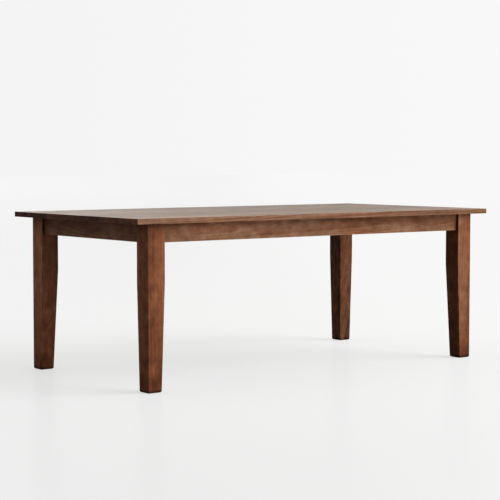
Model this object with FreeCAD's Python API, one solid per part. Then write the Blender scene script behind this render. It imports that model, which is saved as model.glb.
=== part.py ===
import FreeCAD, Part
import math
import os
from FreeCAD import Vector

# Solid-wood dining table: an edge-glued plank top on set-back aprons and four bolt-on tapered legs.
# Millimetres. The origin is on the floor under the middle of the top, +X runs along the top, +Z is up.

# Overall
table_length = 2134.0
table_width = 1067.0
table_height = 762.0

# Top
top_thickness = 24.0
board_count = 7
end_overhang = 76.0
side_overhang = 36.0
top_arris_radius = 1.2

# Legs: plumb outer faces, the two inner faces taper down to the foot
leg_square = 90.0
foot_square = 72.0
taper_start_height = 482.0
leg_arris_radius = 4.5
foot_chamfer = 4.5
leg_inner_flat = 20.0

# Aprons, set back behind the outer faces of the legs
apron_height = 84.0
apron_thickness = 22.0
apron_setback = 16.0
apron_arris_radius = 1.5

# Corner blocks across the inside of each corner
block_thickness = 30.0
block_margin = 11.0
block_gap = 3.5
block_screw_seat = 12.0
block_screw_edge = 12.0
block_screw_inset = 16.0

# Hanger bolts that hold each leg to its corner block
bolt_radius = 4.0
bolt_edge = 15.0
bolt_depth_in_leg = 50.0
bolt_past_nut = 5.0
bolt_point = 6.0
bolt_end_chamfer = 0.8
washer_radius = 8.5
washer_thickness = 1.6
nut_across_flats = 13.0
nut_thickness = 6.5

# Battens across the underside of the top, tenoned into the long aprons
batten_count = 3
batten_width = 70.0
batten_thickness = 20.0
batten_tenon_width = 58.0
batten_tenon_height = 10.0
batten_tenon_length = 8.0
batten_end_screw_inset = 35.0
batten_slot_length = 12.0

# Steel clips that hold the top to a groove in the aprons
clip_thickness = 2.0
clip_width = 20.0
clip_tongue = 8.0
clip_step = 8.0
clip_flange = 26.0
clip_end_margin = 40.0
end_apron_clips = 3
groove_drop = 12.0
groove_height = 3.0
groove_depth = 9.0

# Wood screws
screw_radius = 2.25
screw_head_radius = 4.5
screw_head_top_radius = 3.2
screw_head_height = 2.6
screw_head_rim = 1.0
screw_point = 4.0
screw_bite_top = 14.0
screw_bite_apron = 15.0

# Levelling feet: a threaded insert in each leg, a steel stem and a nylon pad
foot_gap = 1.5
pad_radius = 15.0
pad_height = 6.0
pad_chamfer = 1.0
stem_radius = 4.0
stem_seat = 3.0
stem_top = 34.0
insert_radius = 6.5
insert_length = 18.0
insert_flange_radius = 10.0
insert_flange_thickness = 1.5
stem_bore_spare = 4.0

# Clearances
thread_clearance = 0.1
hole_clearance = 0.5
tenon_clearance = 0.25
stem_clearance = 0.08
pad_top_clearance = 0.3
pad_side_clearance = 2.0
seat_clearance = 0.6
same_place = 0.01

# Places that follow from the sizes above
top_underside = table_height - top_thickness
apron_bottom = top_underside - apron_height
apron_inner = apron_setback + apron_thickness
leg_outer_x = table_length / 2 - end_overhang
leg_outer_y = table_width / 2 - side_overhang
board_width = table_width / board_count
root_two = math.sqrt(2.0)
up = Vector(0, 0, 1)
inward = Vector(1, 1, 0).normalize()

# A corner's own frame has the leg's outer corner at its origin and runs inward along +X and +Y.
# A plane across the corner is named by its x + y.
leg_flat_plane = 2 * leg_square - leg_inner_flat
block_near_plane = leg_flat_plane + block_gap * root_two
block_far_plane = block_near_plane + block_thickness * root_two
block_bottom = apron_bottom + block_margin
block_top = top_underside - block_margin
block_reach = block_far_plane - apron_inner
bolt_heights = (block_bottom + bolt_edge, block_top - bolt_edge)
block_screw_heights = (block_bottom + block_screw_edge, block_top - block_screw_edge)
foot_centre = foot_square / 2
insert_bottom = pad_height + pad_top_clearance
insert_top = insert_bottom + insert_length

# Turn about Z and sides of the table, for the four corners of a part drawn at the front left
corners = {
    "front_left": (0, -1, -1),
    "front_right": (90, 1, -1),
    "back_right": (180, 1, 1),
    "back_left": (270, -1, 1),
}


def box(low, high):
    """A box between two opposite corners."""
    return Part.makeBox(high[0] - low[0], high[1] - low[1], high[2] - low[2], Vector(*low))


def prism(outline, depth):
    """A flat outline of points, drawn out along a vector."""
    closed = outline + outline[:1]
    return Part.Face(Part.makePolygon(closed)).extrude(depth)


def turned(profile):
    """A solid of revolution about Z from (radius, height) points."""
    points = [Vector(radius, 0, height) for radius, height in profile]
    face = Part.Face(Part.makePolygon(points + points[:1]))
    return face.revolve(Vector(0, 0, 0), up, 360)


def moved(shape, place, turn=0.0):
    """A copy turned about Z, then moved."""
    copy = shape.copy()
    copy.Placement = FreeCAD.Placement(Vector(*place), FreeCAD.Rotation(up, turn)).multiply(copy.Placement)
    return copy


def aimed(shape, place, direction):
    """A copy of a shape drawn along +Z from the origin, aimed along a direction from a place."""
    copy = shape.copy()
    copy.Placement = FreeCAD.Placement(place, FreeCAD.Rotation(up, direction))
    return copy


def at_corner(shape, corner):
    """A copy of a shape drawn in a corner's own frame, put at one corner of the table."""
    turn, side_x, side_y = corners[corner]
    return moved(shape, (side_x * leg_outer_x, side_y * leg_outer_y, 0), turn)


def at_all_corners(shapes):
    """Copies of shapes drawn in a corner's own frame, at all four corners."""
    return [at_corner(shape, corner) for corner in corners for shape in shapes]


def eased(shape, radius, chosen):
    """The shape with the edges that a test picks rounded over."""
    return shape.makeFillet(radius, [edge for edge in shape.Edges if chosen(edge)])


def write(name, solids):
    """One file for a piece, or for a group of like pieces."""
    shape = solids[0] if len(solids) == 1 else Part.makeCompound(solids)
    shape.exportStep("parts/" + name + ".step")


def spread(half_span, count):
    """Places evenly spread from one end of a span to the other."""
    return [half_span * (2 * index / (count - 1) - 1) for index in range(count)]


# Places of the battens, clips and screws under the top
clip_screw_out = clip_step + (clip_thickness + clip_flange) / 2
apron_inner_x = leg_outer_x - apron_inner
apron_inner_y = leg_outer_y - apron_inner
long_stations = spread(leg_outer_x - block_reach - clip_end_margin, 2 * batten_count + 1)
batten_stations = long_stations[1::2]
end_stations = spread(leg_outer_y - block_reach - clip_end_margin, end_apron_clips)

# Place and turn of every clip along the four aprons
clip_places = []
for station in long_stations[0::2]:
    clip_places.append(((station, -apron_inner_y, top_underside), 0))
    clip_places.append(((station, apron_inner_y, top_underside), 180))
for station in end_stations:
    clip_places.append(((-apron_inner_x, station, top_underside), -90))
    clip_places.append(((apron_inner_x, station, top_underside), 90))

# One screw from each batten into each top board, the outer ones just inside the aprons
batten_screw_y = [board_width * (index - (board_count - 1) / 2) for index in range(board_count)]
batten_screw_y[0] = batten_end_screw_inset - apron_inner_y
batten_screw_y[-1] = apron_inner_y - batten_end_screw_inset
batten_bottom = top_underside - batten_thickness
batten_middle = top_underside - batten_thickness / 2
batten_screw_places = [(x, y, batten_bottom) for x in batten_stations for y in batten_screw_y]


def wood_screw(length):
    """A screw along +Z whose head bears at the origin."""
    return turned([
        (0, -screw_head_height),
        (screw_head_top_radius, -screw_head_height),
        (screw_head_radius, -screw_head_rim),
        (screw_head_radius, 0),
        (screw_radius, 0),
        (screw_radius, length - screw_point),
        (0, length),
    ])


def screw_hole(length):
    """The pilot hole of a wood screw, along +Z from the origin."""
    return Part.makeCylinder(screw_radius + thread_clearance, length)


def rounded_square(low, high, height, radius):
    """A level outline with rounded corners."""
    middle = radius * (1 - 1 / root_two)
    sides, arcs = [], []
    spans = ((low, low, 1, 1), (high, low, -1, 1), (high, high, -1, -1), (low, high, 1, -1))
    for index, (x, y, step_x, step_y) in enumerate(spans):
        along_x = Vector(x + step_x * radius, y, height)
        along_y = Vector(x, y + step_y * radius, height)
        bend = Vector(x + step_x * middle, y + step_y * middle, height)
        first, last = (along_y, along_x) if index % 2 == 0 else (along_x, along_y)
        arcs.append((first, bend, last))
    for index, (first, bend, last) in enumerate(arcs):
        following = arcs[(index + 1) % 4][0]
        sides.append(Part.Arc(first, bend, last).toShape())
        sides.append(Part.makeLine(last, following))
    return Part.Wire(sides)


def make_leg():
    """One leg in its corner's own frame, with its bolt holes and its foot bored for the leveller."""
    sections = [
        rounded_square(foot_chamfer, foot_square - foot_chamfer, foot_gap, leg_arris_radius),
        rounded_square(0, foot_square, foot_gap + foot_chamfer, leg_arris_radius),
        rounded_square(0, leg_square, taper_start_height, leg_arris_radius),
        rounded_square(0, leg_square, top_underside, leg_arris_radius),
    ]
    leg = Part.makeLoft(sections, True, True)
    inner = leg_square
    start = leg_square - leg_inner_flat
    flat = [
        Vector(inner, start, apron_bottom),
        Vector(inner, inner, apron_bottom),
        Vector(start, inner, apron_bottom),
    ]
    leg = leg.cut(prism(flat, up * apron_height))
    for height in bolt_heights:
        mouth = Vector(leg_flat_plane / 2, leg_flat_plane / 2, height)
        hole = Part.makeCylinder(bolt_radius + thread_clearance, bolt_depth_in_leg, mouth, -inward)
        leg = leg.cut(hole)
    flange_top = insert_bottom + insert_flange_thickness
    bore = turned([
        (0, 0),
        (pad_radius + pad_side_clearance, 0),
        (pad_radius + pad_side_clearance, insert_bottom),
        (insert_flange_radius + thread_clearance, insert_bottom),
        (insert_flange_radius + thread_clearance, flange_top),
        (insert_radius + thread_clearance, flange_top),
        (insert_radius + thread_clearance, insert_top),
        (stem_radius + hole_clearance, insert_top),
        (stem_radius + hole_clearance, stem_top + stem_bore_spare),
        (0, stem_top + stem_bore_spare),
    ])
    return leg.cut(moved(bore, (foot_centre, foot_centre, 0)))


def make_leveller():
    """The fixed insert, and the stem and pad that screw in and out of it, in a corner's own frame."""
    bore = stem_radius + stem_clearance
    flange_top = insert_bottom + insert_flange_thickness
    insert = turned([
        (bore, insert_bottom),
        (insert_flange_radius, insert_bottom),
        (insert_flange_radius, flange_top),
        (insert_radius, flange_top),
        (insert_radius, insert_top),
        (bore, insert_top),
    ])
    stem = turned([
        (0, stem_seat),
        (stem_radius, stem_seat),
        (stem_radius, stem_top - bolt_end_chamfer),
        (stem_radius - bolt_end_chamfer, stem_top),
        (0, stem_top),
    ])
    socket = stem_radius + thread_clearance
    pad = turned([
        (0, 0),
        (pad_radius - pad_chamfer, 0),
        (pad_radius, pad_chamfer),
        (pad_radius, pad_height - pad_chamfer),
        (pad_radius - pad_chamfer, pad_height),
        (socket, pad_height),
        (socket, stem_seat),
        (0, stem_seat),
    ])
    return [moved(piece, (foot_centre, foot_centre, 0)) for piece in (insert, stem, pad)]


def block_screw_lines():
    """Where the block's screws seat and which way they run, two through each mitred end."""
    along = block_reach - block_screw_inset
    seat = apron_inner + block_screw_seat
    lines = []
    for height in block_screw_heights:
        lines.append((Vector(along, seat, height), Vector(0, -1, 0)))
        lines.append((Vector(seat, along, height), Vector(-1, 0, 0)))
    return lines


def make_block():
    """A corner block with mitred ends on the two aprons, drilled for its bolts and screws."""
    near = block_near_plane - apron_inner
    outline = [
        Vector(near, apron_inner, block_bottom),
        Vector(block_reach, apron_inner, block_bottom),
        Vector(apron_inner, block_reach, block_bottom),
        Vector(apron_inner, near, block_bottom),
    ]
    block = prism(outline, up * (block_top - block_bottom))
    for height in bolt_heights:
        mouth = Vector(leg_flat_plane / 2, leg_flat_plane / 2, height)
        reach = (block_far_plane - leg_flat_plane) / root_two
        block = block.cut(Part.makeCylinder(bolt_radius + hole_clearance, reach, mouth, inward))
    for seat, direction in block_screw_lines():
        hole = Part.makeCylinder(screw_radius + thread_clearance, block_screw_seat, seat, direction)
        pocket = Part.makeCylinder(screw_head_radius + seat_clearance, block_thickness, seat, -direction)
        block = block.cut(hole).cut(pocket)
    return block


def make_bolt_sets():
    """Hanger bolts, washers and nuts of one corner, in its own frame."""
    thread_out = (block_far_plane - leg_flat_plane) / root_two
    washer_seat = bolt_depth_in_leg + thread_out
    nut_seat = washer_seat + washer_thickness
    length = nut_seat + nut_thickness + bolt_past_nut
    bolt = turned([
        (0, 0),
        (bolt_radius, bolt_point),
        (bolt_radius, length - bolt_end_chamfer),
        (bolt_radius - bolt_end_chamfer, length),
        (0, length),
    ])
    bore = bolt_radius + thread_clearance
    washer = turned([
        (bore, washer_seat),
        (washer_radius, washer_seat),
        (washer_radius, nut_seat),
        (bore, nut_seat),
    ])
    hexagon = []
    for side in range(6):
        spoke = Vector(nut_across_flats / math.sqrt(3.0), 0, nut_seat)
        hexagon.append(FreeCAD.Rotation(up, 60 * side).multVec(spoke))
    nut = prism(hexagon, up * nut_thickness)
    nut = nut.cut(Part.makeCylinder(bore, nut_thickness, Vector(0, 0, nut_seat)))
    sets = {"bolt": [], "washer": [], "nut": []}
    for height in bolt_heights:
        mouth = Vector(leg_flat_plane / 2, leg_flat_plane / 2, height)
        start = mouth - inward * bolt_depth_in_leg
        sets["bolt"].append(aimed(bolt, start, inward))
        sets["washer"].append(aimed(washer, start, inward))
        sets["nut"].append(aimed(nut, start, inward))
    return sets


def make_clip():
    """A stepped clip: its tongue lies in the apron's groove, its flange under the top.

    The apron's inner face is the plane y = 0, the underside of the top is z = 0."""
    tongue_top = groove_height / 2 - groove_drop
    outline = [
        Vector(0, -clip_tongue, tongue_top),
        Vector(0, -clip_tongue, tongue_top - clip_thickness),
        Vector(0, clip_step + clip_thickness, tongue_top - clip_thickness),
        Vector(0, clip_step + clip_thickness, -clip_thickness),
        Vector(0, clip_step + clip_flange, -clip_thickness),
        Vector(0, clip_step + clip_flange, 0),
        Vector(0, clip_step, 0),
        Vector(0, clip_step, tongue_top),
    ]
    clip = prism(outline, Vector(clip_width, 0, 0))
    clip.translate(Vector(-clip_width / 2, 0, 0))
    mouth = Vector(0, clip_screw_out, -clip_thickness)
    return clip.cut(Part.makeCylinder(screw_radius + hole_clearance, clip_thickness, mouth))


def make_apron(half_length, face, block_side, tenon_stations):
    """An apron along X whose outer face is at y = -face, grooved for clips and mortised for battens."""
    inner = apron_thickness - face
    apron = box((-half_length, -face, apron_bottom), (half_length, inner, top_underside))

    def lower(edge):
        """Whether an edge runs along the bottom of the apron."""
        low = edge.BoundBox.ZMax < apron_bottom + same_place
        return low and edge.BoundBox.XLength > apron_thickness

    apron = eased(apron, apron_arris_radius, lower)
    groove_middle = top_underside - groove_drop
    apron = apron.cut(box(
        (-half_length, inner - groove_depth, groove_middle - groove_height / 2),
        (half_length, inner, groove_middle + groove_height / 2),
    ))
    half_width = batten_tenon_width / 2 + tenon_clearance
    half_height = batten_tenon_height / 2 + tenon_clearance
    mortise_end = inner - batten_tenon_length - tenon_clearance
    for station in tenon_stations:
        apron = apron.cut(box(
            (station - half_width, mortise_end, batten_middle - half_height),
            (station + half_width, inner, batten_middle + half_height),
        ))
    for height in block_screw_heights:
        for x in (-block_side, block_side):
            apron = apron.cut(aimed(screw_hole(screw_bite_apron), Vector(x, inner, height), Vector(0, -1, 0)))
    return apron


def make_batten(station):
    """A flat batten between the long aprons, with a stub tenon at each end and a slot for each screw."""
    batten = box(
        (station - batten_width / 2, -apron_inner_y, batten_bottom),
        (station + batten_width / 2, apron_inner_y, top_underside),
    )
    half_width = batten_tenon_width / 2
    half_height = batten_tenon_height / 2
    tenon_end = apron_inner_y + batten_tenon_length
    tenons = box(
        (station - half_width, -tenon_end, batten_middle - half_height),
        (station + half_width, tenon_end, batten_middle + half_height),
    )
    batten = batten.fuse(tenons).removeSplitter()
    radius = screw_radius + hole_clearance
    half_straight = batten_slot_length / 2 - radius
    for y in batten_screw_y:
        batten = batten.cut(box(
            (station - radius, y - half_straight, batten_bottom),
            (station + radius, y + half_straight, top_underside),
        ))
        for end_y in (y - half_straight, y + half_straight):
            end = Vector(station, end_y, batten_bottom)
            batten = batten.cut(Part.makeCylinder(radius, batten_thickness, end))
    return batten


def make_board(index, holes):
    """One board of the top, eased where it meets the outside of the top, with its pilot holes."""
    low_y = board_width * index - table_width / 2
    low = (-table_length / 2, low_y, top_underside)
    high = (table_length / 2, low_y + board_width, table_height)
    board = box(low, high)

    def outside(edge):
        """Whether an edge lies between two faces that show, rather than on a glued face."""
        place = edge.CenterOfMass
        shown = [
            abs(abs(place.x) - table_length / 2) < same_place,
            abs(abs(place.y) - table_width / 2) < same_place,
            abs(place.z - table_height) < same_place,
            abs(place.z - top_underside) < same_place,
        ]
        return sum(shown) == 2

    board = eased(board, top_arris_radius, outside)
    return board.cut(holes)


os.makedirs("parts", exist_ok=True)

# Top boards, screwed from below through the clips and the battens
clip_screw = wood_screw(clip_thickness + screw_bite_top)
batten_screw = wood_screw(batten_thickness + screw_bite_top)
clip_screws, pilot_holes = [], []
for place, turn in clip_places:
    seat = (0, clip_screw_out, -clip_thickness)
    clip_screws.append(moved(moved(clip_screw, seat), place, turn))
    pilot_holes.append(moved(moved(screw_hole(screw_bite_top), (0, clip_screw_out, 0)), place, turn))
for place in batten_screw_places:
    pilot_holes.append(moved(screw_hole(batten_thickness + screw_bite_top), place))
pilot_hole_group = Part.makeCompound(pilot_holes)
for index in range(board_count):
    write("top_board_" + str(index + 1), [make_board(index, pilot_hole_group)])

# Aprons
long_apron = make_apron(
    leg_outer_x - leg_square, leg_outer_y - apron_setback,
    leg_outer_x - block_reach + block_screw_inset, batten_stations)
end_apron = make_apron(
    leg_outer_y - leg_square, leg_outer_x - apron_setback,
    leg_outer_y - block_reach + block_screw_inset, [])
write("front_apron", [long_apron])
write("back_apron", [moved(long_apron, (0, 0, 0), 180)])
write("left_apron", [moved(end_apron, (0, 0, 0), -90)])
write("right_apron", [moved(end_apron, (0, 0, 0), 90)])

# Legs, corner blocks and levelling feet
leg = make_leg()
block = make_block()
insert, stem, pad = make_leveller()
for corner in corners:
    write(corner + "_leg", [at_corner(leg, corner)])
    write(corner + "_corner_block", [at_corner(block, corner)])
    write(corner + "_leveller_stem", [at_corner(stem, corner)])
    write(corner + "_leveller_pad", [at_corner(pad, corner)])
write("leveller_inserts", at_all_corners([insert]))

# Fasteners of the corners
bolt_sets = make_bolt_sets()
write("hanger_bolts", at_all_corners(bolt_sets["bolt"]))
write("hanger_bolt_washers", at_all_corners(bolt_sets["washer"]))
write("hanger_bolt_nuts", at_all_corners(bolt_sets["nut"]))
block_screw = wood_screw(block_screw_seat + screw_bite_apron)
block_screws = [aimed(block_screw, seat, direction) for seat, direction in block_screw_lines()]
write("corner_block_screws", at_all_corners(block_screws))

# Battens and clips under the top
for index, station in enumerate(batten_stations):
    write("batten_" + str(index + 1), [make_batten(station)])
write("batten_screws", [moved(batten_screw, place) for place in batten_screw_places])
clip = make_clip()
write("top_clips", [moved(clip, place, turn) for place, turn in clip_places])
write("top_clip_screws", clip_screws)
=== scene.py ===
"""Looks of a solid-wood dining table: stained and grained wood on each piece, plated hardware, nylon feet,
a pale studio floor and one large soft light from the picture's right. Metres throughout."""

import math

import bpy
from mathutils import Matrix, Vector


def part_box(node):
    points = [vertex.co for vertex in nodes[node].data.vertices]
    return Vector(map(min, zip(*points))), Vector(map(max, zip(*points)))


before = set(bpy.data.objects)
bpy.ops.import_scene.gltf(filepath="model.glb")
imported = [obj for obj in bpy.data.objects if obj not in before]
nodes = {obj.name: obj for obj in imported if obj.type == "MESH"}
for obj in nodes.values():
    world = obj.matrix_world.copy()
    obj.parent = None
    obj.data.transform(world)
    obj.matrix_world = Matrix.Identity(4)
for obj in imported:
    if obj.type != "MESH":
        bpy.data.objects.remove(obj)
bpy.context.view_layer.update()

# Pieces by kind
BOARDS = sorted(name for name in nodes if name.startswith("top_board_"))
BATTENS = sorted(name for name in nodes if name.startswith("batten_") and name != "batten_screws")
CORNERS = {"front_left": (-1, -1), "front_right": (1, -1), "back_right": (1, 1), "back_left": (-1, 1)}
HARDWARE_ENDINGS = ("_stem", "_inserts", "_bolts", "_washers", "_nuts", "_screws", "_clips")

# Leg taper, as built: the two inner faces run in from this height down to the foot
FOOT_SQUARE = 0.072
TAPER_START = 0.482

# Camera: the photograph's frame is square, and its focal length is given in pixels of that frame. Yaw turns
# from +Y towards +X, pitch looks down, and roll raises the right-hand side, all in radians
IMAGE_SIDE = 500
FOCAL_PIXELS = 1503.00
SENSOR_MILLIMETRES = 36.0
CAMERA_PLACE = Vector((-4.6000, -5.8630, 1.0300))
CAMERA_YAW = 0.66002
CAMERA_PITCH = 0.06254
CAMERA_ROLL = 0.00089
CAMERA_REACH = 200.0
VIEW_AHEAD = (math.sin(CAMERA_YAW), math.cos(CAMERA_YAW), 0.0)
VIEW_RIGHT = (math.cos(CAMERA_YAW), -math.sin(CAMERA_YAW), 0.0)


def linear(red, green, blue):
    """Linear colour, with alpha, of an sRGB colour given in 0 to 255."""
    def channel(value):
        share = value / 255
        return share / 12.92 if share <= 0.04045 else ((share + 0.055) / 1.055) ** 2.4
    return (channel(red), channel(green), channel(blue), 1.0)


class Tree:
    """Adds nodes to a node tree. An input takes a number, a tuple or another node's output."""

    def __init__(self, tree):
        self.tree = tree

    def add(self, kind, inputs=(), **settings):
        node = self.tree.nodes.new(kind if kind.startswith("NodeGroup") else "ShaderNode" + kind)
        for name, value in settings.items():
            setattr(node, name, value)
        for key, value in dict(inputs).items():
            if isinstance(value, bpy.types.NodeSocket):
                self.tree.links.new(value, node.inputs[key])
            else:
                node.inputs[key].default_value = value
        return node

    def math(self, operation, *values):
        return self.add("Math", enumerate(values), operation=operation).outputs[0]

    def times(self, first, second):
        return self.math("MULTIPLY", first, second)

    def sum(self, *values):
        total = values[0]
        for value in values[1:]:
            total = self.math("ADD", total, value)
        return total

    def swing(self, value, amount):
        """A value of about 0 to 1 turned into a swing of that amount about nothing."""
        return self.times(self.math("SUBTRACT", value, 0.5), amount)

    def vector(self, operation, *values):
        return self.add("VectorMath", enumerate(values), operation=operation).outputs["Vector"]

    def dot(self, first, second):
        return self.add("VectorMath", {0: first, 1: second}, operation="DOT_PRODUCT").outputs["Value"]

    def length(self, vector):
        return self.add("VectorMath", {0: vector}, operation="LENGTH").outputs["Value"]

    def split(self, vector):
        return self.add("SeparateXYZ", {0: vector}).outputs[:]

    def join(self, x, y, z):
        return self.add("CombineXYZ", {0: x, 1: y, 2: z}).outputs[0]

    def noise(self, vector, per_metre, seed, detail=2.0, roughness=0.5, colour=False):
        """Seeded noise of about 0 to 1, with so many cells to the metre along each axis."""
        scaled = self.vector("MULTIPLY", vector, per_metre)
        inputs = {"Vector": scaled, "W": seed, "Scale": 1.0, "Detail": detail, "Roughness": roughness}
        return self.add("TexNoise", inputs, noise_dimensions="4D").outputs[1 if colour else 0]

    def remap(self, value, low, high, to_low=0.0, to_high=1.0, kind="SMOOTHSTEP"):
        inputs = {"Value": value, "From Min": low, "From Max": high, "To Min": to_low, "To Max": to_high}
        return self.add("MapRange", inputs, interpolation_type=kind).outputs[0]

    def mix(self, share, first, second, blend="MIX"):
        inputs = {0: share, 6: first, 7: second}
        return self.add("Mix", inputs, data_type="RGBA", blend_type=blend).outputs[2]

    def mix_shader(self, share, first, second):
        return self.add("MixShader", {0: share, 1: first, 2: second}).outputs[0]

    def ramp(self, value, stops):
        node = self.add("ValToRGB", {0: value})
        elements = node.color_ramp.elements
        while len(elements) < len(stops):
            elements.new(0.5)
        for element, (place, colour) in zip(elements, stops):
            element.position = place
            element.color = colour
        return node.outputs[0]


def new_material(name):
    material = bpy.data.materials.new(name)
    material.use_nodes = True
    material.node_tree.nodes.clear()
    return material, Tree(material.node_tree)


def set_material(name, material):
    for slot in nodes[name].material_slots:
        slot.material = material


# Wood colours, from the darkest late wood to the palest fibres, and the tints that they vary between
STAINED = (
    (0.00, linear(48, 27, 17)),
    (0.30, linear(94, 56, 37)),
    (0.55, linear(125, 81, 56)),
    (0.75, linear(145, 102, 76)),
    (1.00, linear(175, 135, 107)),
)
BARE = (
    (0.00, linear(112, 80, 54)),
    (0.40, linear(158, 122, 86)),
    (0.70, linear(186, 150, 110)),
    (1.00, linear(208, 178, 138)),
)
GREY_TINT = (0.94, 1.03, 1.09, 1.0)
RED_TINT = (1.08, 0.95, 0.87, 1.0)
HUE_RANGE = (0.35, 0.65)
END_GRAIN_REDNESS = 0.25

# Marks in the wood: cells to the metre along the grain and across it
CELLS = {
    "sway": (1.3, 5.0),
    "ripple": (7.0, 26.0),
    "streak": (1.6, 30.0),
    "fibre": (8.0, 250.0),
    "mineral": (0.9, 17.0),
    "pore": (55.0, 1300.0),
    "patch": (2.4, 9.0),
    "blotch": (20.0, 26.0),
    "hue": (1.8, 12.0),
    "gloss": (7.0, 30.0),
    "wave": (4.0, 16.0),
    "wear": (30.0, 60.0),
}
OTHER_SEED = 5.0

# How far the fibres wander sideways, and what the marks do to tone, roughness and height of the surface
WANDER = {"sway": 0.028, "ripple": 0.005}
TONE = {"year": 0.12, "late": -0.20, "streak": 0.40, "mineral": -0.16, "fibre": 0.24, "patch": 0.50,
        "pore": -0.14, "end grain": -0.35, "wear": 0.06}
ROUGHNESS = {"gloss": 0.20, "pore": 0.12, "end grain": 0.12}
HEIGHT = {"wave": 0.0010, "late": -0.00005, "fibre": 0.00006, "pore": -0.00018}

# Growth rings: how unevenly wide they are, in years, and where in its year the late wood begins and ends
RING_CELLS = 60.0
RING_UNEVENNESS = 3.0
LATE_BEGINS = 0.30
LATE_ENDS = 0.92

# Noise comes in as a pore or a mineral line between these levels
PEAKS = (0.60, 0.72)

# A face comes to count as looking in some direction between these cosines
FACING = (0.6, 0.9)

# Worn arrises: a paler band beside the edge, whose width is ragged noise less an inset, with a soft end
WEAR_RAGGED = 0.022
WEAR_INSET = 0.007
WEAR_SOFT = 0.004


def sockets(group, side, **kinds):
    for name, kind in kinds.items():
        group.interface.new_socket(name, in_out=side, socket_type="NodeSocket" + kind)


def grain_noise(tree, mark, point, seed, **settings):
    """Noise for one mark, drawn out along the first axis of the point."""
    along, across = CELLS[mark]
    return tree.noise(point, (along, across, across), seed, **settings)


def wood_group(name, stain):
    """Wood as cut from a trunk, with its grain along the first axis of the point given. Pith is where the
    trunk's centre lies in the piece's section, Lean how far it drifts for each metre of length."""
    group = bpy.data.node_groups.new(name, "ShaderNodeTree")
    sockets(group, "INPUT", Point="Vector", Seed="Float", Pith="Vector", Lean="Vector", RingWidth="Float",
            Figure="Float", Mottle="Float", Tone="Float", Redness="Float", Finish="Float", Wear="Float",
            EndGrain="Float")
    sockets(group, "OUTPUT", Colour="Color", Roughness="Float", Height="Float")
    tree = Tree(group)
    given = tree.add("NodeGroupInput").outputs
    point, seed, end_grain = given["Point"], given["Seed"], given["EndGrain"]
    other_seed = tree.math("ADD", seed, OTHER_SEED)

    # fibres that wander, first broadly and then in small ripples
    swayed = point
    for mark, reach in WANDER.items():
        drift = tree.vector("SUBTRACT", grain_noise(tree, mark, point, seed, colour=True), (0.5, 0.5, 0.5))
        swayed = tree.vector("ADD", swayed, tree.vector("MULTIPLY", drift, (0.0, reach, reach)))

    # growth rings: each year has its own tone and ends in a dark line
    along = tree.split(swayed)[0]
    lean = tree.vector("MULTIPLY", given["Lean"], tree.join(along, along, along))
    from_pith = tree.vector("SUBTRACT", tree.vector("SUBTRACT", swayed, given["Pith"]), lean)
    radius = tree.length(tree.vector("MULTIPLY", from_pith, (0.0, 1.0, 1.0)))
    uneven = tree.noise(tree.join(radius, 0.0, 0.0), (RING_CELLS, 1.0, 1.0), seed, detail=1.0)
    years = tree.sum(tree.math("DIVIDE", radius, given["RingWidth"]), tree.times(uneven, RING_UNEVENNESS))
    year = tree.math("FRACT", years)
    late = tree.times(tree.remap(year, LATE_BEGINS, LATE_ENDS), tree.remap(year, LATE_ENDS, 1.0, 1.0, 0.0))
    ring = tree.sum(tree.math("FLOOR", years), seed)
    yearly = tree.add("TexWhiteNoise", {"W": ring}, noise_dimensions="1D").outputs["Value"]

    # streaks, fibres, mineral lines, pores and broad patches
    streak = grain_noise(tree, "streak", swayed, seed, detail=3.0)
    fibre = grain_noise(tree, "fibre", swayed, seed)
    mineral = tree.remap(grain_noise(tree, "mineral", swayed, other_seed), *PEAKS)
    pore = tree.remap(grain_noise(tree, "pore", swayed, seed, detail=1.0), *PEAKS)
    patch = grain_noise(tree, "patch", point, seed, detail=3.0, roughness=0.6)
    blotch = grain_noise(tree, "blotch", point, other_seed, detail=3.0, roughness=0.6)

    # colour: the tone's place on the stain, greyer in some places and redder in others
    figure = tree.sum(tree.swing(yearly, TONE["year"]), tree.swing(late, TONE["late"]),
                      tree.swing(streak, TONE["streak"]), tree.times(mineral, TONE["mineral"]))
    tone = tree.sum(given["Tone"], tree.times(figure, given["Figure"]), tree.swing(fibre, TONE["fibre"]),
                    tree.swing(patch, TONE["patch"]), tree.swing(blotch, given["Mottle"]),
                    tree.times(pore, TONE["pore"]), tree.times(end_grain, TONE["end grain"]),
                    tree.times(given["Wear"], TONE["wear"]))
    hue = grain_noise(tree, "hue", point, other_seed, detail=3.0, roughness=0.6)
    hue = tree.sum(hue, given["Redness"], tree.times(end_grain, END_GRAIN_REDNESS))
    tint = tree.mix(tree.remap(hue, *HUE_RANGE), GREY_TINT, RED_TINT)
    colour = tree.mix(1.0, tree.ramp(tone, stain), tint, blend="MULTIPLY")

    # surface: uneven gloss, planed waves, late wood and pores sunk in, and raised fibres
    gloss = grain_noise(tree, "gloss", point, other_seed, detail=3.0)
    rough = tree.sum(given["Finish"], tree.swing(gloss, ROUGHNESS["gloss"]),
                     tree.times(pore, ROUGHNESS["pore"]), tree.times(end_grain, ROUGHNESS["end grain"]))
    wave = grain_noise(tree, "wave", point, other_seed, detail=1.0)
    height = tree.sum(tree.times(wave, HEIGHT["wave"]), tree.times(late, HEIGHT["late"]),
                      tree.times(fibre, HEIGHT["fibre"]), tree.times(pore, HEIGHT["pore"]))
    tree.add("NodeGroupOutput", {"Colour": colour, "Roughness": rough, "Height": height})
    return group


STAINED_WOOD = wood_group("stained_wood", STAINED)
BARE_WOOD = wood_group("bare_wood", BARE)


def second_smallest(tree, first, second, third):
    return tree.math("MAXIMUM", tree.math("MINIMUM", first, second),
                     tree.math("MINIMUM", tree.math("MAXIMUM", first, second), third))


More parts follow.
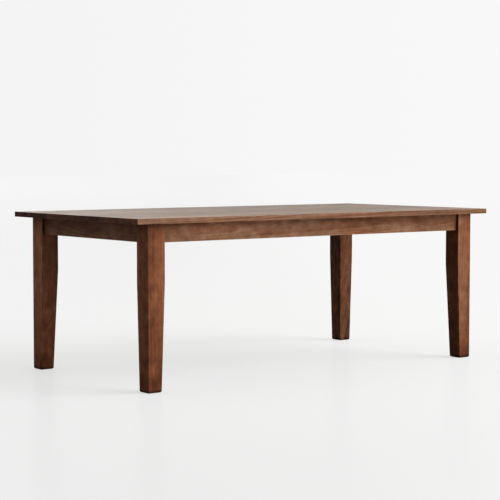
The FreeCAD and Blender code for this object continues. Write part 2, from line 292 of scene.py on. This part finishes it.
def box_arris(low, high):
    """The distance from a point on a box's face to the nearest edge of that box, for wood()."""
    def distance(tree, place):
        gaps = [tree.math("MINIMUM", tree.math("SUBTRACT", value, start), tree.math("SUBTRACT", end, value))
                for value, start, end in zip(place, low, high)]
        return second_smallest(tree, *gaps)
    return distance


def leg_arris(low, high, outward):
    """The same for a leg that tapers on its two inner faces."""
    def distance(tree, place):
        square = high[0] - low[0]
        width = tree.remap(place[2], low[2], TAPER_START, FOOT_SQUARE, square, kind="LINEAR")
        gaps = []
        for axis in (0, 1):
            if outward[axis] > 0:
                inward = tree.math("SUBTRACT", high[axis], place[axis])
            else:
                inward = tree.math("SUBTRACT", place[axis], low[axis])
            gaps.append(tree.math("MINIMUM", inward, tree.math("SUBTRACT", width, inward)))
        return second_smallest(tree, *gaps, tree.math("SUBTRACT", place[2], low[2]))
    return distance


AXES = {"x": (1.0, 0.0, 0.0), "y": (0.0, 1.0, 0.0), "z": (0.0, 0.0, 1.0)}


def wood(name, axes, seed, pith, lean, tone, group=STAINED_WOOD, ring_width=0.008, figure=0.5, mottle=0.6,
         redness=0.0, specular=0.12, roughness=0.5, arris=None, shade=None):
    """The material of one piece of wood. Its axes are the directions along the grain, across the piece and
    through it. arris gives the distance to the nearest edge that wears, and shade gives a change of tone
    that is
    added to the tone: a thinner stretch of stain on the front apron, painted shade on the legs."""
    material, tree = new_material(name)
    coordinates = tree.add("TexCoord").outputs
    low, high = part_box(name)
    place = tree.split(coordinates["Object"])
    centred = tree.vector("SUBTRACT", coordinates["Object"], (low + high) / 2)
    axes = [AXES.get(axis, axis) for axis in axes]
    point = tree.join(*(tree.dot(centred, axis) for axis in axes))
    end = tree.math("ABSOLUTE", tree.dot(coordinates["Normal"], axes[0]))
    inputs = {"Point": point, "Seed": seed, "Pith": (0.0, *pith), "Lean": (0.0, *lean), "Tone": tone,
              "RingWidth": ring_width, "Figure": figure, "Mottle": mottle, "Redness": redness,
              "Finish": roughness, "EndGrain": tree.remap(end, *FACING)}
    if shade:
        inputs["Tone"] = tree.math("ADD", tone, shade(tree, place, coordinates["Normal"]))
    if arris:
        ragged = tree.times(grain_noise(tree, "wear", point, seed, detail=3.0), WEAR_RAGGED)
        worn_to = tree.math("SUBTRACT", ragged, WEAR_INSET)
        past_wear = tree.math("SUBTRACT", arris(tree, place), worn_to)
        inputs["Wear"] = tree.remap(past_wear, 0.0, WEAR_SOFT, 1.0, 0.0)
    grown = tree.add("Group", inputs, node_tree=group).outputs
    bump = tree.add("Bump", {"Height": grown["Height"], "Strength": 1.0, "Distance": 1.0})
    shader = tree.add("BsdfPrincipled", {
        "Base Color": grown["Colour"], "Roughness": grown["Roughness"], "Normal": bump.outputs[0],
        "Specular IOR Level": specular})
    tree.add("OutputMaterial", {"Surface": shader.outputs[0]})
    return material


# Clouded finishes: clouds darker and duller than the rest, and a surface grain finer than the clouds
CLOUD_RANGE = (0.3, 0.7)
CLOUD_SHADE = 0.7
CLOUD_DULLER = 0.10
CLEAR_SHINIER = 0.08
FINER = 12


def clouded(name, colour, metallic, roughness, per_metre, bump_height):
    """Plated steel or moulded plastic: uneven tone and gloss, and a fine surface."""
    material, tree = new_material(name)
    point = tree.add("TexCoord").outputs["Object"]
    cloud = tree.noise(point, (per_metre,) * 3, seed=1.0, detail=3.0)
    fine = tree.noise(point, (per_metre * FINER,) * 3, seed=2.0)
    dark = tuple(value * CLOUD_SHADE for value in colour[:3]) + (1.0,)
    shade = tree.mix(tree.remap(cloud, *CLOUD_RANGE), dark, colour)
    rough = tree.remap(cloud, *CLOUD_RANGE, roughness + CLOUD_DULLER, roughness - CLEAR_SHINIER)
    bump = tree.add("Bump", {"Height": tree.times(fine, bump_height), "Distance": 1.0})
    shader = tree.add("BsdfPrincipled", {
        "Base Color": shade, "Roughness": rough, "Metallic": metallic, "Normal": bump.outputs[0]})
    tree.add("OutputMaterial", {"Surface": shader.outputs[0]})
    return material


# Top: flat-sawn boards side by side, heart side down and up in turn and each from its own place in the
# trunk, worn only along the outer edges of the whole top
BOARD_TONES = (0.60, 0.57, 0.42, 0.49, 0.54, 0.40, 0.47)
top_low = Vector(min(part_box(name)[0][axis] for name in BOARDS) for axis in range(3))
top_high = Vector(max(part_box(name)[1][axis] for name in BOARDS) for axis in range(3))
for index, name in enumerate(BOARDS):
    heart_side = 1 if index % 2 else -1
    set_material(name, wood(
        name, "xyz", seed=91.2 + 7.3 * index,
        pith=(0.035 * math.sin(2.4 * index), heart_side * (0.050 + 0.015 * math.cos(1.7 * index))),
        lean=(0.008 * math.sin(1.3 * index), 0.024 + 0.010 * math.cos(2.1 * index)),
        tone=BOARD_TONES[index % len(BOARD_TONES)], ring_width=0.0085, figure=1.0, mottle=0.4,
        redness=-0.11, specular=0.28, roughness=0.40, arris=box_arris(top_low, top_high)))

# Aprons. The front one took the stain more thinly along a stretch left of its middle
APRON_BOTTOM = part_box("front_apron")[0][2]
PALE_MIDDLE = -0.58
PALE_REACH = 0.34
PALE_TONE = 0.12


def pale_stretch(tree, place, normal):
    away = tree.math("ABSOLUTE", tree.math("SUBTRACT", place[0], PALE_MIDDLE))
    return tree.remap(away, 0.0, PALE_REACH, PALE_TONE, 0.0)


APRONS = {
    "front_apron": {"seed": 307.2, "tone": 0.655, "redness": -0.06, "shade": pale_stretch},
    "back_apron": {"seed": 67.6, "tone": 0.56, "redness": -0.06},
    "left_apron": {"seed": 160.0, "tone": 0.60, "redness": -0.16},
    "right_apron": {"seed": 79.4, "tone": 0.56, "redness": -0.06},
}
for name, settings in APRONS.items():
    low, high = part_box(name)
    axes = "xzy" if high[0] - low[0] > high[1] - low[1] else "yzx"
    set_material(name, wood(name, axes, pith=(0.02, 0.06), lean=(0.006, 0.022), mottle=0.85,
                            arris=box_arris(low, high), **settings))

# Legs. One has grain that slants across its front. The tone varies from leg to leg, and so does the depth of
# the painted shade
LEGS = {
    "front_left": {"seed": 253.0, "tone": 0.55, "redness": 0.16, "lean": (0.01, 0.018), "figure": 0.5},
    "front_right": {"seed": 242.4, "tone": 0.67, "redness": 0.10, "lean": (0.01, 0.018), "figure": 0.5},
    "back_right": {"seed": 197.2, "tone": 0.59, "redness": -0.10, "lean": (0.14, 0.018), "figure": 0.9},
    "back_left": {"seed": 290.4, "tone": 0.72, "redness": 0.08, "lean": (0.01, 0.018), "figure": 0.5},
}
# Depth of each leg's painted shade, towards the foot and on the inner face that looks along the table
LEG_PAINTED_SHADE = {
    "front_left": {"foot_shade_depth": 0.21, "inner_shade_depth": 0.30},
    "front_right": {"foot_shade_depth": 0.26, "inner_shade_depth": 0.43},
    "back_right": {"foot_shade_depth": 0.04, "inner_shade_depth": 0.40},
    "back_left": {"foot_shade_depth": 0.28, "inner_shade_depth": 0.30},
}

# Where a leg is painted darker: painted shade towards the foot and on its bottom edge, on the inner faces
# and beside the aprons, and a darkening along the outer corner. The heights or widths it fades over, and the
# tone it takes off. The foot's painted shade is shared between a long rise and a short one
FOOT_SHADE_RISES = ((0.05, 0.50, 0.6), (0.02, 0.11, 0.4))
RIM_SHADE_RISE = (0.006, 0.020)
RIM_SHADE_TONE = -0.25
CORNER_WIDTH = 0.065
CORNER_TONE = -0.13
CROSSWISE_SHADE_TONE = -0.15
STRIP_SHADE_RISE = (APRON_BOTTOM - 0.008, APRON_BOTTOM + 0.002)
STRIP_SHADE_TONE = -0.20


def leg_painted_shade(low, high, outward, foot_shade_depth, inner_shade_depth):
    """Painted shade towards the foot and on its bottom edge, on the two inner faces that stand in the
    table's shade (most on the one that looks along the table), and on the strips of these beside the aprons.
    The outer corner is darker too."""
    def shade(tree, place, normal):
        height = place[2]
        outer = [(high if outward[axis] > 0 else low)[axis] for axis in (0, 1)]
        gaps = [tree.math("ABSOLUTE", tree.math("SUBTRACT", outer[axis], place[axis])) for axis in (0, 1)]
        corner = tree.remap(tree.math("MAXIMUM", *gaps), 0.0, CORNER_WIDTH, CORNER_TONE, 0.0)
        # painted shade that darkens towards the foot, and more at its bottom edge
        foot = tree.sum(*(tree.remap(height, start, end, -share * foot_shade_depth, 0.0)
                          for start, end, share in FOOT_SHADE_RISES))
        rim = tree.remap(height, *RIM_SHADE_RISE, RIM_SHADE_TONE, 0.0)
        # painted shade on the inner faces, and on their strips beside the aprons
        lengthwise, crosswise = (tree.remap(tree.dot(normal, inward), *FACING)
                                 for inward in ((-outward[0], 0.0, 0.0), (0.0, -outward[1], 0.0)))
        strip = tree.times(tree.math("MAXIMUM", lengthwise, crosswise), tree.remap(height, *STRIP_SHADE_RISE))
        foot_or_inner = tree.remap(lengthwise, 0.0, 1.0, foot, -inner_shade_depth, kind="LINEAR")
        return tree.sum(corner, rim, foot_or_inner, tree.times(crosswise, CROSSWISE_SHADE_TONE),
                        tree.times(strip, STRIP_SHADE_TONE))
    return shade


for corner, outward in CORNERS.items():
    leg = corner + "_leg"
    set_material(leg, wood(
        leg, "zxy", pith=(0.10 * outward[0], 0.09), mottle=0.7, arris=leg_arris(*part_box(leg), outward),
        shade=leg_painted_shade(*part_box(leg), outward, **LEG_PAINTED_SHADE[corner]), **LEGS[corner]))

# Bare wood, which shows only from below: corner blocks with their grain across the corner, and battens
for index, (corner, outward) in enumerate(CORNERS.items()):
    block = corner + "_corner_block"
    diagonal = math.sqrt(0.5)
    slant = outward[0] * outward[1] * diagonal
    across_corner = (diagonal, -slant, 0.0)
    through = (slant, diagonal, 0.0)
    set_material(block, wood(block, (across_corner, "z", through), seed=171.3 + 3.7 * index,
                             pith=(0.03, 0.05), lean=(0.01, 0.01), tone=0.5, group=BARE_WOOD))
for index, name in enumerate(BATTENS):
    set_material(name, wood(name, "yxz", seed=101.3 + 4.1 * index, pith=(0.02, 0.06), lean=(0.01, 0.02),
                            tone=0.5, group=BARE_WOOD))

# Hardware and feet
steel = clouded("zinc_steel", linear(190, 188, 182), metallic=1.0, roughness=0.34, per_metre=90.0,
                bump_height=0.00002)
nylon = clouded("nylon", linear(34, 33, 32), metallic=0.0, roughness=0.5, per_metre=120.0,
                bump_height=0.00003)
for name in nodes:
    if name.endswith("_pad"):
        set_material(name, nylon)
    elif name.endswith(HARDWARE_ENDINGS):
        set_material(name, steel)


# Floor and backdrop as they are seen: near white, with painted light that makes them a little brighter
# towards the right, the side the key light comes from, and brighter into the distance. The changes run
# between two distances on the floor, and between two cosines on the backdrop
FLOOR_SIDE = 120.0
FLOOR_LEFT = linear(234, 234, 234)
FLOOR_RIGHT = linear(244, 244, 244)
FAR_FLOOR_LEFT = linear(240, 240, 240)
FAR_FLOOR_RIGHT = linear(247, 247, 247)
BACKDROP_LEFT = linear(244, 244, 244)
BACKDROP_RIGHT = linear(248, 248, 248)
FLOOR_LEFT_TO_RIGHT = (-1.8, 1.8)
FLOOR_NEAR_TO_FAR = (-3.0, 1.2)
FLOOR_TO_BACKDROP = (8.0, 40.0)
BACKDROP_LEFT_TO_RIGHT = (-0.18, 0.18)

# Round the table a share of the floor's brightness is real light, for the soft shadow. The light that falls
# on open floor is divided out of it
FLOOR_SHADE = 0.26
FLOOR_SHADE_FADE = (1.8, 5.5)
OPEN_FLOOR_LIGHT = (1.09, 1.07, 1.054)
FLOOR_SHEEN = 0.03
SHEEN_ROUGHNESS = 0.25
GLOSSY_FLOOR = 0.05

# Light that the floor throws up onto the table: little, apart from a pale round card in front of it
FLOOR_BOUNCE = (0.17, 0.163, 0.158, 1.0)
CARD_BOUNCE = (0.85, 0.82, 0.79, 1.0)
CARD_PLACE = (0.7, -2.45, 0.0)
CARD_EDGE = (1.5, 2.1)

# Light from the surroundings: dim and warm, brighter from above, with broad fills from the back left, from
# low at the front, and from overhead on the right. Each fill has a direction, the cosine at its rim, and a
# colour
AMBIENT = (
    (0.02, (0.030, 0.028, 0.026, 1.0)),
    (0.35, (0.130, 0.120, 0.115, 1.0)),
    (1.00, (0.260, 0.245, 0.235, 1.0)),
)
FILLS = (
    (Vector((-0.66, 0.60, 0.45)).normalized(), 0.62, (0.96, 0.92, 0.89, 1.0)),
    (Vector((0.40, -0.90, 0.22)).normalized(), 0.50, (0.75, 0.70, 0.67, 1.0)),
    (Vector((0.58, 0.00, 0.81)).normalized(), 0.60, (1.10, 1.06, 1.03, 1.0)),
)
FILL_CORE = 0.97

# What the satin wood mirrors: a dim room with the pale backdrop at the back right, brightest to its left
MIRROR_DIM = (0.07, 0.06, 0.055, 1.0)
MIRROR_RIGHT = (1.24, 1.24, 1.15, 1.0)
MIRROR_LEFT = (2.22, 2.28, 2.22, 1.0)
MIRROR_LEFT_TO_RIGHT = (-0.20, 0.0)
MIRROR_SIDE = Vector((0.58, 0.815, 0.0))
MIRROR_EDGE = (0.82, 0.98)


def seen_directly(tree, path):
    """1 for camera and glass rays, and 0 for the others."""
    return tree.math("MAXIMUM", path["Is Camera Ray"], path["Is Transmission Ray"])


# The seen colour of floor and backdrop, with painted light towards the right
def floor_colour(tree, place, away):
    rightward = tree.remap(tree.dot(place, VIEW_RIGHT), *FLOOR_LEFT_TO_RIGHT)
    near = tree.mix(rightward, FLOOR_LEFT, FLOOR_RIGHT)
    far = tree.mix(rightward, FAR_FLOOR_LEFT, FAR_FLOOR_RIGHT)
    floor = tree.mix(tree.remap(tree.dot(place, VIEW_AHEAD), *FLOOR_NEAR_TO_FAR), near, far)
    horizon = tree.mix(rightward, BACKDROP_LEFT, BACKDROP_RIGHT)
    return tree.mix(tree.remap(away, *FLOOR_TO_BACKDROP), floor, horizon)


def floor_material():
    """Camera, glass and a few mirror rays meet the floor as it is seen. The rays that light the table meet
    the floor that bounces light."""
    material, tree = new_material("floor")
    place = tree.add("TexCoord").outputs["Object"]
    away = tree.length(place)
    colour = floor_colour(tree, place, away)
    glow = tree.add("Emission", {"Color": colour}).outputs[0]
    lit = tree.add("BsdfDiffuse", {"Color": tree.vector("DIVIDE", colour, OPEN_FLOOR_LIGHT)}).outputs[0]
    near = tree.remap(away, *FLOOR_SHADE_FADE, 1.0, 0.0)
    shown = tree.mix_shader(tree.times(near, FLOOR_SHADE), glow, lit)
    sheen = tree.add("BsdfGlossy", {"Color": colour, "Roughness": SHEEN_ROUGHNESS}).outputs[0]
    shown = tree.mix_shader(FLOOR_SHEEN, shown, sheen)

    on_card = tree.remap(tree.length(tree.vector("SUBTRACT", place, CARD_PLACE)), *CARD_EDGE, 1.0, 0.0)
    bounce_colour = tree.mix(on_card, FLOOR_BOUNCE, CARD_BOUNCE)
    bounce = tree.add("BsdfDiffuse", {"Color": bounce_colour}).outputs[0]

    path = tree.add("LightPath").outputs
    mirrored = tree.times(path["Is Glossy Ray"], GLOSSY_FLOOR)
    seen = tree.math("MAXIMUM", seen_directly(tree, path), mirrored)
    tree.add("OutputMaterial", {"Surface": tree.mix_shader(seen, bounce, shown)})
    return material


def make_floor():
    mesh = bpy.data.meshes.new("floor")
    half = FLOOR_SIDE / 2
    corners = [(-half, -half, 0.0), (half, -half, 0.0), (half, half, 0.0), (-half, half, 0.0)]
    mesh.from_pydata(corners, [], [(0, 1, 2, 3)])
    mesh.materials.append(floor_material())
    floor = bpy.data.objects.new("floor", mesh)
    bpy.context.scene.collection.objects.link(floor)


def make_world():
    world = bpy.data.worlds.new("studio")
    world.use_nodes = True
    world.node_tree.nodes.clear()
    tree = Tree(world.node_tree)
    direction = tree.add("TexCoord").outputs["Generated"]
    rightward = tree.dot(direction, VIEW_RIGHT)

    ambient = tree.ramp(tree.split(direction)[2], AMBIENT)
    for side, rim, colour in FILLS:
        ambient = tree.mix(tree.remap(tree.dot(direction, side), rim, FILL_CORE), ambient, colour)
    glare = tree.mix(tree.remap(rightward, *MIRROR_LEFT_TO_RIGHT), MIRROR_LEFT, MIRROR_RIGHT)
    mirrored = tree.mix(tree.remap(tree.dot(direction, MIRROR_SIDE), *MIRROR_EDGE), MIRROR_DIM, glare)
    # painted light: the backdrop is a little brighter towards the right
    backdrop = tree.mix(tree.remap(rightward, *BACKDROP_LEFT_TO_RIGHT), BACKDROP_LEFT, BACKDROP_RIGHT)

    path = tree.add("LightPath").outputs
    unseen = tree.mix(path["Is Glossy Ray"], ambient, mirrored)
    colour = tree.mix(seen_directly(tree, path), unseen, backdrop)
    background = tree.add("Background", {"Color": colour, "Strength": 1.0}).outputs[0]
    tree.add("OutputWorld", {"Surface": background})
    bpy.context.scene.world = world


# Key light: large and soft, from the picture's right. Polished wood doesn't mirror the lamp itself
KEY_AZIMUTH = Vector((0.70, -0.714, 0.0)).normalized()
KEY_ELEVATION = math.radians(29)
KEY_SPREAD = math.radians(46)
KEY_LIGHT = 0.92 * math.pi


def make_light():
    lamp = bpy.data.lights.new("key", "SUN")
    lamp.angle = KEY_SPREAD
    lamp.energy = KEY_LIGHT
    key = bpy.data.objects.new("key", lamp)
    towards = KEY_AZIMUTH * math.cos(KEY_ELEVATION) + Vector((0.0, 0.0, math.sin(KEY_ELEVATION)))
    key.rotation_mode = "QUATERNION"
    key.rotation_quaternion = towards.to_track_quat("Z", "Y")
    key.visible_glossy = False
    bpy.context.scene.collection.objects.link(key)


def make_camera():
    data = bpy.data.cameras.new("camera")
    data.sensor_width = SENSOR_MILLIMETRES
    data.lens = SENSOR_MILLIMETRES * FOCAL_PIXELS / IMAGE_SIDE
    data.clip_end = CAMERA_REACH
    camera = bpy.data.objects.new("camera", data)
    forward = Vector((math.sin(CAMERA_YAW) * math.cos(CAMERA_PITCH),
                      math.cos(CAMERA_YAW) * math.cos(CAMERA_PITCH), -math.sin(CAMERA_PITCH)))
    level = Vector(VIEW_RIGHT)
    upright = level.cross(forward)
    right = level * math.cos(CAMERA_ROLL) + upright * math.sin(CAMERA_ROLL)
    up = right.cross(forward)
    turn = Matrix((right, up, -forward)).transposed().to_4x4()
    camera.matrix_world = Matrix.Translation(CAMERA_PLACE) @ turn
    bpy.context.scene.collection.objects.link(camera)
    bpy.context.scene.camera = camera


make_floor()
make_world()
make_light()
make_camera()
bpy.context.scene.view_settings.view_transform = "Standard"
